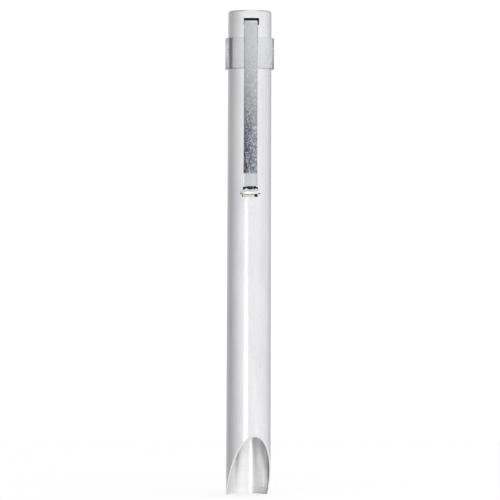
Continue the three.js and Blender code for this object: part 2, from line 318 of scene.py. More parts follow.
def satinSteel(tipZ):
    # drawn tube, rubbed lengthways, with faint handling marks
    look = {
        "colour": (0.87, 0.872, 0.885), "cool": (0.80, 0.805, 0.83), "smoothest": 0.19,
        "lines": 0.10, "flecks": 0.08,  # how strongly they show
        # painted highlight on the crown pressed out between the two slits, and painted shade on the flat
        # above it
        "rows": (0.088, 0.09), "columns": (-0.003, 0.003), "flatShadeColour": (0.66, 0.68, 0.7),
        "crownUp": [(0.1, 0.0), (0.16, 1.0), (0.28, 1.0), (0.38, 0.0)],
        "crownAcross": [(0.1, 0.0), (0.14, 1.0), (0.42, 1.0), (0.66, 0.1)],
        "flatUp": [(0.38, 0.0), (0.44, 1.0), (0.7, 1.0), (0.78, 0.0)],
        "flatAcross": [(0.1, 0.0), (0.14, 1.0), (0.85, 1.0), (0.9, 0.0)],
    }
    t = tree("satinSteel")
    wire(t, "Metallic", 1.0)
    lines = grain(t, 0.12, (1, 1, 0.02), 4)
    fleck = grain(t, 0.45, (1, 1, 0.6), 4, 0.7)
    cloud = grain(t, 6, (1, 1, 0.35), 2)
    base = mix(t, ramp(t, cloud, [(0.35, 0.0), (0.7, 1.0)]), look["colour"], look["cool"])
    base = mix(t, look["lines"], base, ramp(t, lines, [(0.3, 0.45), (0.7, 1.0)]), "MULTIPLY")
    base = mix(t, look["flecks"], base, ramp(t, fleck, [(0.35, 0.3), (0.62, 1.0)]), "MULTIPLY")
    at = xyz(t)
    up = between(t, at["Z"], *[tipZ + row for row in look["rows"]])
    across = between(t, at["X"], *look["columns"])
    front = sums(t, "LESS_THAN", at["Y"], 0)

    def patch(name):
        both = times(t, ramp(t, up, look[name + "Up"]), ramp(t, across, look[name + "Across"]))
        return times(t, both, front)

    # painted shade on the flat above the crown, then a painted highlight on the crown
    base = mix(t, patch("flat"), base, look["flatShadeColour"])
    wire(t, "Base Color", mix(t, patch("crown"), base, 1.0))
    rough = sums(t, "MULTIPLY_ADD", fleck, 0.10)
    rough.node.inputs[2].default_value = look["smoothest"]
    wire(t, "Roughness", rough)
    wire(t, "Normal", bump(t, lines, 0.0015, 0.5, bump(t, fleck, 0.004, 0.35)))
    return t["material"]


def cutSteel():
    # the ground face round the mouth
    t = tree("cutSteel")
    wire(t, "Metallic", 1.0)
    lines = grain(t, 0.1, (0.15, 1, 1), 3)
    wire(t, "Base Color", ramp(t, lines, [(0.3, (0.71, 0.715, 0.72)), (0.7, (0.81, 0.81, 0.815))]))
    wire(t, "Roughness", ramp(t, lines, [(0.3, 0.24), (0.7, 0.36)]))
    wire(t, "Normal", bump(t, lines, 0.004, 0.6))
    return t["material"]


def turnedBore(look):
    # fine tool lines round the inside of the barrel, with painted shade on its right side near the mouth
    shadeTones = {
        # painted shade, darkening the right side of the bore near the slanted cut, towards the tip and at
        # the lip; each with the metres across over which it comes in
        "rimShade": ([(0.0, 1.0), (0.76, 1.0), (0.87, 0.86), (0.96, 0.66), (1.0, 0.64)], (0.0015, 0.0045)),
        "low": ([(0.0, 0.74), (0.1, 0.78), (0.13, 0.86), (0.36, 0.88), (0.6, 1.0)], (0.0007, 0.0016)),
        "lipShade": ([(0.0, 0.34), (0.35, 0.5), (0.6, 1.0)], (0, 0.003)),
    }
    lipHeight = 0.5
    t = tree("turnedBore")
    wire(t, "Metallic", 1.0)
    tool = grain(t, 0.3, (0.012, 0.012, 1), 4, 0.7)
    wide = grain(t, 1.4, (0.03, 0.03, 1), 3)
    fleck = grain(t, 0.5, (1, 1, 0.5), 3)
    base = mix(t, ramp(t, tool, [(0.4, 0.0), (0.6, 1.0)]), (0.93, 0.935, 0.94), (1.0, 1.0, 1.0))
    base = mix(t, 0.07, base, ramp(t, wide, [(0.3, 0.5), (0.65, 1.0)]), "MULTIPLY")
    # painted shade near the slanted cut, on its right side; near is 1 at the cut's top and sides
    at = xyz(t)
    past = look["pastAxis"] * mm
    rise = look["mouthHeight"] / (look["tipRadius"] + look["pastAxis"])
    bore = (look["tipRadius"] - look["wall"]) * mm
    up = between(t, at["Z"], tipZ + rise * past, tipZ + rise * (past + bore))
    out = between(t, at["X"], 0, bore)
    for node in (up.node, out.node):
        node.clamp = False
    near = sums(t, "SQRT", sums(t, "ADD", sums(t, "POWER", up, 2), sums(t, "POWER", out, 2)), 0)
    measures = {
        "rimShade": near,
        "low": between(t, at["Z"], tipZ, tipZ + look["mouthHeight"] * mm),
        "lipShade": between(t, at["Z"], tipZ, tipZ + lipHeight * mm),
    }
    for name, (stops, comesIn) in shadeTones.items():
        tone = mix(t, between(t, at["X"], *comesIn), 1.0, ramp(t, measures[name], stops))
        base = times(t, base, tone)
    wire(t, "Base Color", base)
    wire(t, "Roughness", ramp(t, fleck, [(0.3, 0.3), (0.7, 0.36)]))
    wire(t, "Anisotropic", 0.92)
    wire(t, "Anisotropic Rotation", 0.25)
    tangent = t["nodes"].new("ShaderNodeTangent")
    tangent.direction_type = "RADIAL"
    tangent.axis = "Z"
    t["links"].new(tangent.outputs[0], t["shader"].inputs["Tangent"])
    wire(t, "Normal", bump(t, tool, 0.006, 0.45))
    return t["material"]


def spangledSteel(low, high):
    # zinc-coated spring strip: small crystals; the lower half of the arm is darker, partly its own dark
    # spangle and partly painted reflection, and its edges carry painted shade
    look = {
        "light": [(0.3, (0.50, 0.51, 0.52)), (0.62, (0.66, 0.67, 0.675))],
        "dark": [(0.3, (0.045, 0.06, 0.095)), (0.45, (0.12, 0.145, 0.19)), (0.58, (0.2, 0.235, 0.29)),
                 (0.72, (0.6, 0.64, 0.7))],
        # how dark, up the strip from its tip: partly the dark spangle, partly painted reflection
        "darkening": [(0.0, 0.0), (0.072, 0.0), (0.08, 1.0), (0.28, 0.95), (0.45, 0.66), (0.62, 0.34),
                 (0.8, 0.06), (1.0, 0.0)],
        # painted shade from its left edge to its right, darker at both edges
        "lightShadeAcross": [(0.0, 0.84), (0.4, 0.93), (0.86, 1.0), (0.95, 0.74), (1.0, 0.72)],
        "darkShadeAcross": [(0.0, 0.35), (0.1, 0.4), (0.28, 0.85), (1.0, 1.0)],
        "darkeningRight": 0.55, "darkeningFrom": 0.2, "darkeningTo": 1.2,  # less dark on the right
    }
    t = tree("spangledSteel")
    wire(t, "Metallic", 1.0)
    crystal = crystals(t, 0.34, (1, 1, 0.8))
    fine = crystals(t, 0.15)
    fleck = grain(t, 0.22, (1, 1, 1), 4, 0.75)
    both = weighted(t, (crystal, 0.5), (fine, 0.3), (fleck, 0.25))
    soft = weighted(t, (fine, 0.35), (fleck, 0.6))
    at = xyz(t)
    darkening = ramp(t, between(t, at["Z"], low.z, high.z), look["darkening"])
    right = between(t, at["X"], low.x * look["darkeningFrom"], high.x * look["darkeningTo"])
    darkening = times(t, darkening, mix(t, right, 1.0, look["darkeningRight"]))
    side = between(t, at["X"], low.x, high.x)
    dark = times(t, ramp(t, both, look["dark"]), ramp(t, side, look["darkShadeAcross"]))
    light = times(t, ramp(t, soft, look["light"]), ramp(t, side, look["lightShadeAcross"]))
    wire(t, "Base Color", mix(t, darkening, light, dark))
    wire(t, "Roughness", ramp(t, both, [(0.3, 0.42), (0.7, 0.24)]))
    wire(t, "Normal", bump(t, both, 0.02, 0.5, bump(t, fleck, 0.01, 0.4)))
    return t["material"]


def shearedEdge(low, high):
    # painted highlight and shade on the clip's left edge: bright near the tip where it catches the light,
    # dark beside the ring
    t = tree("shearedEdge")
    wire(t, "Metallic", 1.0)
    lines = grain(t, 0.12, (1, 1, 0.2), 3)
    along = between(t, xyz(t)["Z"], low.z, high.z)
    # painted highlight near the tip, painted shade beside the ring
    shade = ramp(t, along, [(0.0, 1.0), (0.1, 0.95), (0.35, 0.8), (0.45, 0.3), (0.93, 0.3), (0.96, 0.9)])
    wire(t, "Base Color", mix(t, 0.1, shade, ramp(t, lines, [(0.3, 0.4), (0.7, 1.0)]), "MULTIPLY"))
    wire(t, "Roughness", ramp(t, lines, [(0.3, 0.3), (0.7, 0.42)]))
    wire(t, "Normal", bump(t, lines, 0.01, 0.4))
    return t["material"]


def clearPolymer(look, low, high):
    # painted shade: two dark bands run up the ring, where the barrel's dark sides show through it
    t = tree("clearPolymer")
    cloud = grain(t, 3, (1, 1, 0.4), 2)
    base = ramp(t, cloud, [(0.3, (0.98, 0.986, 1.0)), (0.7, (0.995, 0.998, 1.0))])
    at = xyz(t)
    turn = aroundAxis(t, at)
    fromAxis = sums(t, "ADD", sums(t, "POWER", at["X"], 2), sums(t, "POWER", at["Y"], 2))
    onOutside = sums(t, "GREATER_THAN", fromAxis, (high.x - look["wall"] / 2 * mm) ** 2)
    for shadeBand in look["joints"]:
        away = sums(t, "ABSOLUTE", sums(t, "SUBTRACT", turn, math.radians(shadeBand["turn"])), 0)
        away = sums(t, "DIVIDE", away, math.radians(shadeBand["half"]))
        dark = ramp(t, away, [(0.0, shadeBand["shade"]), (0.7, shadeBand["shade"]), (1.0, 1.0)])
        base = mix(t, onOutside if shadeBand["outsideOnly"] else 1.0, base, times(t, base, dark))
    foot = ramp(t, between(t, at["Z"], low.z, high.z), look["foot"])
    base = mix(t, onOutside, times(t, base, foot), base)
    wire(t, "Base Color", base)
    wire(t, "Roughness", ramp(t, grain(t, 0.6, (1, 1, 0.2), 3), [(0.3, 0.02), (0.8, 0.09)]))
    wire(t, "IOR", 1.47)
    wire(t, "Transmission Weight", 0.94)
    wire(t, "Normal", bump(t, cloud, 0.03, 0.25))
    return t["material"]


def metal(name, dark, light, roughness, size=0.3, stretch=(1, 1, 1), depth=0.004):
    # plated or plain small metal parts
    t = tree(name)
    wire(t, "Metallic", 1.0)
    fleck = grain(t, size, stretch, 4, 0.6)
    cloud = grain(t, size * 9, stretch, 2)
    base = ramp(t, cloud, [(0.3, dark), (0.7, light)])
    base = mix(t, 0.18, base, ramp(t, fleck, [(0.35, 0.5), (0.65, 1.0)]), "MULTIPLY")
    wire(t, "Base Color", base)
    wire(t, "Roughness", ramp(t, fleck, [(0.3, roughness - 0.06), (0.75, roughness + 0.1)]))
    wire(t, "Normal", bump(t, fleck, depth, 0.5))
    return t["material"]


def solid(name, dark, light, roughness, size=0.3, depth=0.01, stretch=(1, 1, 1)):
    # mouldings, film and card
    t = tree(name)
    fleck = grain(t, size, stretch, 5, 0.65)
    cloud = grain(t, size * 12, stretch, 2)
    both = weighted(t, (fleck, 0.6), (cloud, 0.4))
    wire(t, "Base Color", ramp(t, both, [(0.35, dark), (0.65, light)]))
    wire(t, "Roughness", ramp(t, fleck, [(0.3, roughness - 0.1), (0.75, roughness + 0.1)]))
    wire(t, "Normal", bump(t, fleck, depth, 0.5))
    return t["material"]


def lampGlassFinish(name, dark, light, transmission):
    t = tree(name)
    seed = grain(t, 1.6, (1, 1, 0.4), 3)
    wire(t, "Base Color", ramp(t, seed, [(0.3, dark), (0.7, light)]))
    wire(t, "Roughness", ramp(t, seed, [(0.3, 0.0), (0.8, 0.05)]))
    wire(t, "IOR", 1.5)
    wire(t, "Transmission Weight", transmission)
    wire(t, "Normal", bump(t, seed, 0.01, 0.2))
    return t["material"]


barrelShape = {
    "tipRadius": 6.53, "topRadius": 6.35, "wall": 0.35, "cornerRound": 0.6, "edge": 0.05,
    "mouthHeight": 18, "pastAxis": 1.2, "mouthTurn": 14.5, "seatDepth": 1.8, "seatStep": 0.08,
    "slot": ((-2.08, 2.35), 137.6, 139.6),  # its two sides, low, high
    "window": (2.15, 87.4, 90.6),  # half width, low, high
    "windowLeft": -2.42,  # the lower slit runs further on this side
    "nick": (2.95, 88.25, 88.5),  # the short slits beside the hump: end, low, high
    "hump": (88.25, 89.6), "humpRise": 0.45, "humpReach": 2.9, "humpFade": 0.6,
    "crown": (0.22, 0.6),  # part of a half turn, so it is rolled in more at the lower slit
    # how far the torn edges of the upper slit stand up, across it
    "tornLow": [(-2.2, -0.15), (-1.55, 0.05), (-1.15, 0.4), (-0.75, 0.05), (0.3, -0.05), (0.75, 0.25),
                (1.1, -0.1), (1.5, 0.35), (2.2, -0.15)],
    "tornHigh": [(-2.2, -0.3), (-1.2, -0.12), (0.0, 0.02), (1.0, -0.14), (1.5, 0.1), (1.7, -0.3),
                 (2.2, -0.35)],
    "columns": 216, "frontHalf": 3.2,  # the inside columns stand straight behind the outside ones up to here
    "apart": (0.006, 0.012),  # the least angle between two fixed columns, and from one to a plain one
}
clipLow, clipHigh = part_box("pocket_clip")
ringLow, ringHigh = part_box("clip_spacer_ring")
ringShape = {
    "wall": 0.74, "round": 0.12, "sides": 160,
    # painted shade bands, in degrees round from the clip's side
    "joints": [{"turn": -57.5, "half": 4.3, "shade": 0.27, "outsideOnly": False},
               {"turn": 79.5, "half": 3.2, "shade": 0.03, "outsideOnly": True}],
    "foot": [(0.0, 0.6), (0.02, 0.76), (0.05, 1.0)],  # the shade at the foot of its inner wall
}
finishes = {
    "satin": satinSteel(tipZ),
    "cut": cutSteel(),
    "bore": turnedBore(barrelShape),
    "spangle": spangledSteel(clipLow, clipHigh),
    "edge": shearedEdge(clipLow, clipHigh),
    "clear": clearPolymer(ringShape, ringLow, ringHigh),
    "black": solid("blackMoulding", (0.012, 0.012, 0.013), (0.03, 0.03, 0.032), 0.5, 0.25, 0.012),
    "spring": metal("springWire", (0.50, 0.51, 0.52), (0.68, 0.69, 0.70), 0.25, 0.15),
    "can": metal("platedCan", (0.60, 0.61, 0.62), (0.76, 0.77, 0.77), 0.26, 0.3, (1, 1, 0.2)),
    "film": solid("labelFilm", (0.028, 0.032, 0.04), (0.045, 0.052, 0.066), 0.28, 0.5, 0.006, (1, 1, 0.3)),
    "band": solid("paleFilm", (0.42, 0.45, 0.48), (0.55, 0.58, 0.61), 0.3, 0.5, 0.006, (1, 1, 0.3)),
    "card": metal("foilCard", (0.74, 0.68, 0.61), (0.9, 0.85, 0.79), 0.32, 0.5, (1, 1, 0.4), 0.02),
    "nickel": metal("nickelPlate", (0.62, 0.60, 0.56), (0.78, 0.76, 0.72), 0.18, 0.3),
    "brass": metal("brass", (0.62, 0.42, 0.17), (0.83, 0.62, 0.30), 0.24, 0.3),
    "blackGlass": lampGlassFinish("blackGlass", (0.008, 0.008, 0.01), (0.02, 0.02, 0.024), 0.0),
    "solder": metal("solder", (0.42, 0.43, 0.44), (0.66, 0.67, 0.68), 0.38, 0.5, (1, 1, 1), 0.03),
    "glass": lampGlassFinish("lampGlass", (0.93, 0.95, 0.96), (0.99, 0.995, 1.0), 1.0),
    "tungsten": metal("tungsten", (0.16, 0.16, 0.165), (0.3, 0.3, 0.31), 0.4, 0.05),
}
print("finishes made")


def radiusAt(height):
    share = height / ((barrelHigh.z - barrelLow.z) / mm)
    return barrelShape["tipRadius"] + (barrelShape["topRadius"] - barrelShape["tipRadius"]) * share


def buildBarrel(look):
    wall = look["wall"]
    (slotLeft, slotRight), slotLow, slotHigh = look["slot"]
    windowEnd, windowLow, windowHigh = look["window"]
    nickEnd, nickLow, nickHigh = look["nick"]
    humpLow, humpHigh = look["hump"]
    outer = radiusAt(windowLow)
    inner = outer - wall
    length = (barrelHigh.z - barrelLow.z) / mm
    past = look["pastAxis"]
    rise = look["mouthHeight"] / (radiusAt(look["mouthHeight"]) + past)
    turn = math.radians(look["mouthTurn"])

    # column angles from the clip's side, with one on every side wall of a hole
    marks = [windowEnd, nickEnd, 0.75, 1.5]
    angles = [2 * math.pi * k / look["columns"] - math.pi for k in range(look["columns"])]
    fixed = [s * math.asin(x / outer) for x in marks for s in (-1, 1)] + [0.0]
    fixed += [math.asin(x / radiusAt(slotLow)) for x in (slotLeft, slotRight)]
    fixed += [math.asin(0.2 * k / outer) for k in range(-10, 11) if k]
    fixed += [math.asin(look["windowLeft"] / outer)]
    spread = math.acos(-past / outer)
    fixed += [turn + spread, turn - spread, turn]
    fixed = [f for i, f in enumerate(fixed) if all(abs(f - g) > look["apart"][0] for g in fixed[:i])]
    angles = [a for a in angles if min(abs(a - f) for f in fixed) > look["apart"][1]] + fixed
    angles.sort()
    front = math.asin(look["frontHalf"] / outer)
    frontIn = math.asin(look["frontHalf"] / inner)

    def inside(angle):
        # the inner column behind an outer one: straight behind near the holes
        if abs(angle) <= front:
            return math.asin(outer * math.sin(angle) / inner)
        share = (abs(angle) - front) / (math.pi - front)
        return math.copysign(frontIn + (math.pi - frontIn) * share, angle)

    def cutAt(depth, angle):
        # height of the slanted cut at this depth into the wall
        height = 0.0
        for _ in range(3):
            height = max(0.0, rise * ((radiusAt(height) - depth) * math.cos(angle - turn) + past))
        return height

    def bulge(radius, angle, height):
        across = abs(radius * math.sin(angle)) / look["humpReach"]
        if abs(angle) > 1 or across >= 1 or height < humpLow - 0.001 or height > humpHigh + look["humpFade"]:
            return 0.0
        fade = 1 if height <= humpHigh else max(0, 1 - (height - humpHigh) / look["humpFade"])
        middle = min(1, max(0, (height - humpLow) / (humpHigh - humpLow)))
        start, part = look["crown"]
        crown = math.sin(math.pi * (start + part * middle)) ** 0.9
        return look["humpRise"] * fade * crown * math.cos(math.pi / 2 * across) ** 0.8

    def ragged(angle, height):
        # the torn edges of the upper slit aren't straight
        x = outer * math.sin(angle)
        if abs(x) > windowEnd or abs(angle) > 1 or height not in (humpHigh, windowHigh):
            return 0.0
        table = look["tornLow"] if height == humpHigh else look["tornHigh"]
        for (x0, y0), (x1, y1) in zip(table, table[1:]):
            if x <= x1:
                return y0 + (y1 - y0) * (x - x0) / (x1 - x0)
        return 0.0

    mouthTop = look["mouthHeight"] + 0.9
    shared = [mouthTop, 24, 32, 42, 52, 62, 72, 80, 86.4, windowLow, humpLow, nickHigh, 88.75, 89.0, 89.25]
    shared += [humpHigh, 90.1, windowHigh, 92, 100, 110, 120, 130, 136.5, slotLow, 138.6, slotHigh]
    shares = [0.0, 0.02, 0.08, 0.2, 0.4, 0.6, 0.8, 0.93]
    edge = look["edge"]

    bm = bmesh.new()

    columns = []
    for angle in angles:
        angleIn = inside(angle)
        # outside, from the mouth up to the middle of the closed end
        low = cutAt(0, angle) + edge
        heights = [low + (mouthTop - low) * s for s in shares] + shared
        path = [(radiusAt(h) + bulge(outer, angle, h), angle, h + ragged(angle, h)) for h in heights]
        corner = look["cornerRound"]
        shoulder = radiusAt(length) - corner
        for k in range(7):
            a = math.radians(90 * k / 6)
            path.append((shoulder + corner * math.cos(a), angle, length - corner + corner * math.sin(a)))
        path += [(shoulder * 0.6, angle, length), (shoulder * 0.25, angle, length)]
        outsideVerts = [bm.verts.new(onPen(*p)) for p in path]
        # inside, from the mouth up
        lowIn = cutAt(wall, angleIn)
        step = look["seatStep"] if lowIn < look["seatDepth"] else 0
        start = lowIn + edge
        stepTop = max(look["seatDepth"] + 0.06, start)
        seat = radiusAt(start) - wall + step
        path = [(seat, angleIn, start), (seat, angleIn, max(look["seatDepth"], start))]
        path.append((radiusAt(stepTop) - wall, angleIn, stepTop))
        heights = [stepTop + (mouthTop - stepTop) * s for s in shares[1:]] + shared
        for h in heights:
            path.append((radiusAt(h) - wall + bulge(outer, angle, h), angleIn, h + ragged(angle, h)))
        top = length - wall
        bore = radiusAt(length) - wall
        path += [(bore, angleIn, top - 0.3), (bore - 0.3, angleIn, top), (bore * 0.5, angleIn, top)]
        insideVerts = [bm.verts.new(onPen(*p)) for p in path]
        # the cut face between them, with its two edges just broken
        face = []
        for share in (0.1, 0.5, 0.9):
            partAngle = angle + (angleIn - angle) * share
            height = cutAt((wall - step) * share, partAngle)
            face.append(bm.verts.new(onPen(radiusAt(height) - (wall - step) * share, partAngle, height)))
        columns.append((outsideVerts, face, insideVerts))

    topOut = bm.verts.new((0, 0, barrelHigh.z))
    topIn = bm.verts.new((0, 0, barrelHigh.z - wall * mm))
    rowAt = {h: len(shares) + i for i, h in enumerate(shared)}
    offset = 2  # the inside has this many more rows below mouthTop

    def isHole(angle, nextAngle, row):
        middle = (angle + nextAngle) / 2
        side = outer * math.sin(middle) if abs(middle) < 1 else 99  # never a hole at the back

        def level(low, high):
            return rowAt[low] <= row < rowAt[high]

        inWindow = level(windowLow, windowHigh) and not level(humpLow, humpHigh)
        return (slotLeft < side < slotRight and level(slotLow, slotHigh)
                or abs(side) < windowEnd and inWindow
                or look["windowLeft"] < side < 0 and level(windowLow, humpLow)
                or windowEnd < abs(side) < nickEnd and level(nickLow, nickHigh))

    count = len(columns)
    for i in range(count):
        outA, faceA, inA = columns[i]
        outB, faceB, inB = columns[(i + 1) % count]
        angle = angles[i]
        nextAngle = angles[(i + 1) % count] if i + 1 < count else angles[0] + 2 * math.pi
        for row in range(len(outA) - 1):
            if not isHole(angle, nextAngle, row):
                bm.faces.new((outA[row], outB[row], outB[row + 1], outA[row + 1])).material_index = 0
        bm.faces.new((outA[-1], outB[-1], topOut)).material_index = 0
        for row in range(len(inA) - 1):
            if not isHole(angle, nextAngle, row - offset):
                bm.faces.new((inA[row], inA[row + 1], inB[row + 1], inB[row])).material_index = 2
        bm.faces.new((inB[-1], inA[-1], topIn)).material_index = 2
        chainA = [outA[0], *faceA, inA[0]]
        chainB = [outB[0], *faceB, inB[0]]
        for k in range(len(chainA) - 1):
            bm.faces.new((chainA[k], chainA[k + 1], chainB[k + 1], chainB[k])).material_index = 1

    # walls of the holes
    partner = {}
    for outA, faceA, inA in columns:
        for row in range(len(shares), len(shares) + len(shared)):
            partner[outA[row]] = inA[row + offset]
    bm.edges.ensure_lookup_table()
    rimEdges = [e for e in bm.edges if e.is_boundary and all(v in partner for v in e.verts)]
    for e in rimEdges:
        a, b = e.verts
        bm.faces.new((a, b, partner[b], partner[a])).material_index = 1
    bmesh.ops.recalc_face_normals(bm, faces=bm.faces)
    roundEdges(bm, rimEdges, edge)
    addPiece("barrelTube", bm, ["satin", "cut", "bore"], "barrel", ["barrel"], 16)


buildBarrel(barrelShape)
print("barrel made")


clipShape = {
    "thickness": 0.5, "round": 0.24, "crowned": 0.02, "endRound": 0.08,
    # height, width
    "widths": [(138.9, 3.94), (136.5, 4.15), (135, 4.1), (130, 3.85), (115, 3.95), (97, 4.1), (90, 4.28)],
    "legHeight": 138.68, "legEnd": 1.6, "legRoom": 0.8, "bendRadius": 1.0, "armTop": 134,
    "kink": 94.3, "kinkRound": 0.45, "tip": 90.6,
    "gapTop": 1.05, "gapKink": 1.7, "gapTip": 0.75, "bow": 0.1,
    "lean": ((90.6, -0.2), (138.8, -0.06)),  # it sits a little askew in its slot
    "edgeFaces": (12, 17),  # faces of the section on the left edge
}


def buildClip(look):
    half = look["thickness"] / 2

    def armPoint(gap, height):
        return Vector((-(radiusAt(height) + gap + half), height))

    top = armPoint(look["gapTop"], look["armTop"])
    kink = armPoint(look["gapKink"], look["kink"])
    tip = armPoint(look["gapTip"], look["tip"])
    lean = math.atan2(top.x - kink.x, top.y - kink.y)
    bendZ = look["legHeight"] - look["bendRadius"]
    bendY = top.x - (look["armTop"] - bendZ) * math.tan(lean) + look["bendRadius"] / math.cos(lean)
    path = [(look["legEnd"] + (bendY - look["legEnd"]) * k / 6, look["legHeight"]) for k in range(6)]
    for k in range(11):
        a = math.radians(90 + k * (90 - math.degrees(lean)) / 10)
        path.append((bendY + look["bendRadius"] * math.cos(a), bendZ + look["bendRadius"] * math.sin(a)))
    start = Vector(path[-1])
    for k in range(1, 31):
        s = k / 30
        p = start.lerp(kink, s)
        path.append((p.x - look["bow"] * math.sin(math.pi * s) ** 2, p.y))
    # a short round at the kink, then the turned-in end
    path.pop()
    before = Vector(path[-1])
    near = kink + (before - kink).normalized() * look["kinkRound"]
    far = kink + (tip - kink).normalized() * look["kinkRound"]
    for k in range(6):
        s = k / 5
        path.append(tuple(near * (1 - s) ** 2 + kink * 2 * s * (1 - s) + far * s ** 2))
    path += [tuple(far.lerp(tip, k / 5)) for k in range(1, 6)]

    def widthAt(height):
        table = look["widths"]
        if height >= table[0][0]:
            return table[0][1]
        for (h0, w0), (h1, w1) in zip(table, table[1:]):
            if height >= h1:
                return w1 + (w0 - w1) * (height - h1) / (h0 - h1)
        return table[-1][1]

    bm = bmesh.new()
    rings = []
    for i, (y, z) in enumerate(path):
        ahead = Vector(path[min(i + 1, len(path) - 1)]) - Vector(path[max(i - 1, 0)])
        ahead.normalize()
        outward = Vector((-ahead.y, ahead.x))  # to the clip's outer face
        isLeg = z >= look["legHeight"] - look["legRoom"]
        if (isLeg and outward.y < 0) or (not isLeg and outward.x > 0):
            outward = -outward
        w = widthAt(z) / 2
        (lowZ, lowX), (highZ, highX) = look["lean"]
        askew = lowX + (highX - lowX) * (z - lowZ) / (highZ - lowZ)
        r = look["round"]
        section = []
        corners = ((w - r, half - r), (r - w, half - r), (r - w, r - half), (w - r, r - half))
        for corner, (cx, cy) in enumerate(corners):
            for k in range(4):
                a = math.radians(90 * corner + 30 * k)
                section.append((cx + r * math.cos(a), cy + r * math.sin(a)))
            if corner == 0:
                for k in range(1, 8):
                    s = k / 8
                    section.append(((w - r) * (1 - 2 * s), half + look["crowned"] * math.sin(math.pi * s)))
        rings.append([
            bm.verts.new(((sx + askew) * mm, (y + outward.x * sy) * mm, tipZ + (z + outward.y * sy) * mm))
            for sx, sy in section
        ])
    sides = len(rings[0])
    for lower, upper, (_, z) in zip(rings, rings[1:], path):
        first = look["edgeFaces"][0] - (1 if z < look["kink"] else 0)
        for k in range(sides):
            n = (k + 1) % sides
            onEdge = first <= k < look["edgeFaces"][1]
            bm.faces.new((lower[k], lower[n], upper[n], upper[k])).material_index = 1 if onEdge else 0
    caps = [bm.faces.new(rings[0][::-1]), bm.faces.new(rings[-1])]
    roundEdges(bm, [e for f in caps for e in f.edges], look["endRound"])
    addPiece("clipStrip", bm, ["spangle", "edge"], "clip", ["pocket_clip"], 40)


buildClip(clipShape)

ringBottom, ringTop = (ringLow.z - tipZ) / mm, (ringHigh.z - tipZ) / mm
ringOut = ringHigh.x / mm
bm = tube(ringOut - ringShape["wall"], ringOut, ringBottom, ringTop, ringShape["round"], 4,
          ringShape["sides"])
addPiece("spacerRing", bm, ["clear"], "ring", ["clip_spacer_ring"], 60)
print("clip and ring made")


def spans(node):
    # radius, lowest and highest of a CAD node, in millimetres up from the tip
    low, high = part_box(node)
    return (high.x - low.x) / 2 / mm, (low.z - tipZ) / mm, (high.z - tipZ) / mm


cupShape = {"wall": 0.5, "top": 0.8, "legSide": 0.5, "legUp": 0.75, "round": 0.15}
radius, low, high = spans("rear_insulator_cup")
ceiling, bore = high - cupShape["top"], radius - cupShape["wall"]
line = soften([(0, ceiling), (bore, ceiling), (bore, low), (radius, low), (radius, high), (0, high)],
              cupShape["round"], 3, False)
bm = turned(line, 96, False)
rearCup = addPiece("rearCup", bm, ["black"], "barrel", ["rear_insulator_cup"])
legHalf = clipHigh.x + cupShape["legSide"] * mm
legZ, legUp = tipZ + clipShape["legHeight"] * mm, cupShape["legUp"] * mm
carve(rearCup, (-legHalf, -0.008, legZ - legUp), (legHalf, -0.0043, legZ + legUp))

springShape = {"wireRadius": 0.25, "turns": 3, "large": 3.5, "small": 1.7, "flat": 0.12}
_, low, high = spans("battery_spring")
springPath = []
springSteps = 144
bottom, top = low + springShape["wireRadius"], high - springShape["wireRadius"]
for k in range(springSteps + 1):
    s = k / springSteps
    a = 2 * math.pi * springShape["turns"] * s
    r = springShape["large"] + (springShape["small"] - springShape["large"]) * s
    rise = min(1, max(0, (s - springShape["flat"]) / (1 - 2 * springShape["flat"])))  # ends lie flat
    z = bottom + (top - bottom) * rise
    springPath.append((r * mm * math.cos(a), r * mm * math.sin(a), tipZ + z * mm))
bm = rod(springPath, springShape["wireRadius"])
addPiece("batterySpring", bm, ["spring"], "barrel", ["battery_spring"])
print("closed end made")


cellShape = {
    "nub": 1.9, "nubLength": 0.9, "rim": 0.4, "floorGap": 0.3, "filmWall": 0.15, "sealWall": 0.5,
    "bands": [(3.0, 5.2), (6.0, 6.6)],  # pale rings above the nub end
}


def buildCell(body, side):
    look = cellShape
    radius, low, high = spans(body + "_can")
    rim, nub = look["rim"], look["nub"]
    shoulder = low + look["nubLength"]
    floor = spans(body + "_end_cap")[1] - look["floorGap"]
    line = [(0, low + 0.06), (nub * 0.5, low + 0.02)]  # the nub is a little dished
    line += soften([(nub * 0.5, low), (nub, low), (nub + 0.05, shoulder), (radius, shoulder), (radius, high),
                    (radius - rim, high), (radius - rim, floor), (0, floor)], 0.22, 4, False)[1:]
    addPiece(side + "CellCan", turned(line, 96, False), ["can"], body, [body + "_can"])

    radius, low, high = spans(body + "_label")
    bm = tube(radius - look["filmWall"], radius, low, high, 0.05, 2)
    for height in [low + h for pair in look["bands"] for h in pair]:
        bmesh.ops.bisect_plane(bm, geom=bm.verts[:] + bm.edges[:] + bm.faces[:],
                               plane_co=(0, 0, tipZ + height * mm), plane_no=(0, 0, 1))
    for face in bm.faces:
        up = (face.calc_center_median().z - tipZ) / mm - low
        face.material_index = 1 if any(a < up < b for a, b in look["bands"]) else 0
    addPiece(side + "CellLabel", bm, ["film", "band"], body, [body + "_label"])

    radius, low, high = spans(body + "_end_cap")
    line = soften([(0, low), (radius, low), (radius, high), (radius * 0.62, high - 0.02),
                   (radius * 0.55, high - 0.08), (0, high - 0.08)], 0.08, 3, False)
    addPiece(side + "CellCap", turned(line, 72, False), ["can"], body, [body + "_end_cap"])

    radius, low, high = spans(body + "_seal")
    bm = tube(radius - look["sealWall"], radius, low, high, 0.07, 3, 72)
    addPiece(side + "CellSeal", bm, ["black"], body, [body + "_seal"])


buildCell("rear_cell", "rear")
buildCell("front_cell", "front")

